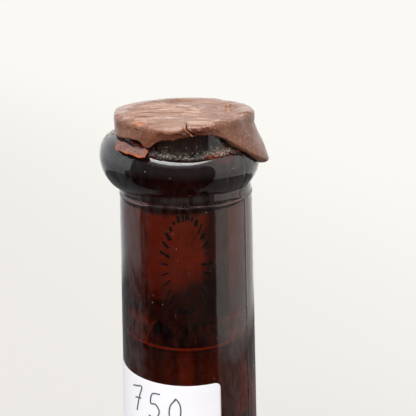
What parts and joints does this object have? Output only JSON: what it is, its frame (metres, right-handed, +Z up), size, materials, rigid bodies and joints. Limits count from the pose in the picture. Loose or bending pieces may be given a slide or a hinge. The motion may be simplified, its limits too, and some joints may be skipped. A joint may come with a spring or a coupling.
{
  "type": "wine bottle",
  "caption": "Sealed amber glass wine bottle with a cork, a cracked brown sealing-wax cap with a loose flake, and a plain paper label wrapped round the neck.",
  "frame": {"origin": "on the neck's axis, at the flat ring that the bottle stands on", "axes": "+Z up along the neck's axis; -Y is the front, where the broken arch of the wax and the label face; +X is the viewer's right"},
  "size_m": [0.0774, 0.0774, 0.2983],
  "materials": {
    "amber_glass": "gloss",
    "wine": "gloss",
    "cork": "matte",
    "sealing_wax": "satin",
    "broken_wax": "matte",
    "label_paper": "matte"
  },
  "bodies": {
    "root": {"bottle_glass": "amber_glass", "wine": "wine", "cork": "cork", "wax_cap": "sealing_wax", "wax_flake": "broken_wax", "paper_label": "label_paper"}
  },
  "joints": []
}
